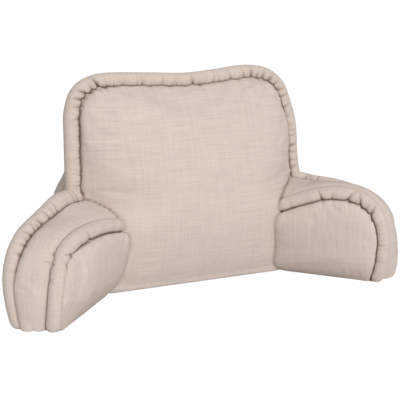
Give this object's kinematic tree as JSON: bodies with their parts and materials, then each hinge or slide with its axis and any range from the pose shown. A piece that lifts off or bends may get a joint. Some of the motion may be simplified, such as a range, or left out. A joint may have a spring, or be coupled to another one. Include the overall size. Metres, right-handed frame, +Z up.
{
  "type": "back cushion",
  "caption": "Bed-rest back cushion: a stuffed wedge-shaped back with splayed arms, covered in beige linen-look cloth and edged with fat gathered cord.",
  "frame": {"origin": "on the floor, under the middle of the whole cushion's box", "axes": "+X along the width, to the right as seen from the front; +Y to the rear; +Z up; the sitter faces -Y"},
  "size_m": [0.7292, 0.3018, 0.3773],
  "materials": {
    "cushion_cloth": "matt slub weave, stuffed",
    "cord_cloth": "matt slub weave gathered over a filled cord"
  },
  "bodies": {
    "root": {"back_cushion": "cushion_cloth", "left_arm_cushion": "cushion_cloth", "right_arm_cushion": "cushion_cloth", "back_cord": "cord_cloth", "left_arm_inner_cord": "cord_cloth", "left_arm_outer_cord": "cord_cloth", "right_arm_inner_cord": "cord_cloth", "right_arm_outer_cord": "cord_cloth"}
  },
  "joints": []
}
